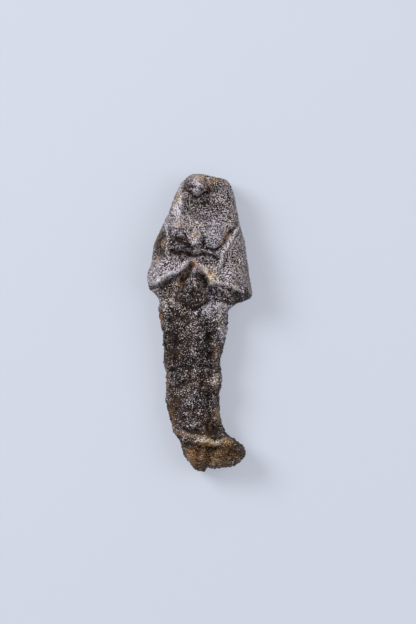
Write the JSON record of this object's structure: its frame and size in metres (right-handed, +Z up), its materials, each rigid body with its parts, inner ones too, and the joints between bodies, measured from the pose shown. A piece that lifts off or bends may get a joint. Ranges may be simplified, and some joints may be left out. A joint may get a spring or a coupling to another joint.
{
  "type": "ancient wax funerary figure",
  "caption": "Small mummiform wax figure with a falcon head, wrapped arms and turned-up feet, lying on a flattened back.",
  "frame": {"origin": "middle of the bounding box at the resting face", "axes": "+Z up out of the figure's front, +Y from the feet to the head, +X to the right as seen from above with the head away"},
  "size_m": [0.0302, 0.0858, 0.0182],
  "materials": {
    "wax": "resin-darkened beeswax, nearly black under a grain of pale grey bloom, brown to amber at the feet and worn edges"
  },
  "bodies": {
    "root": {"falcon_headed_figure": "wax"}
  },
  "joints": []
}
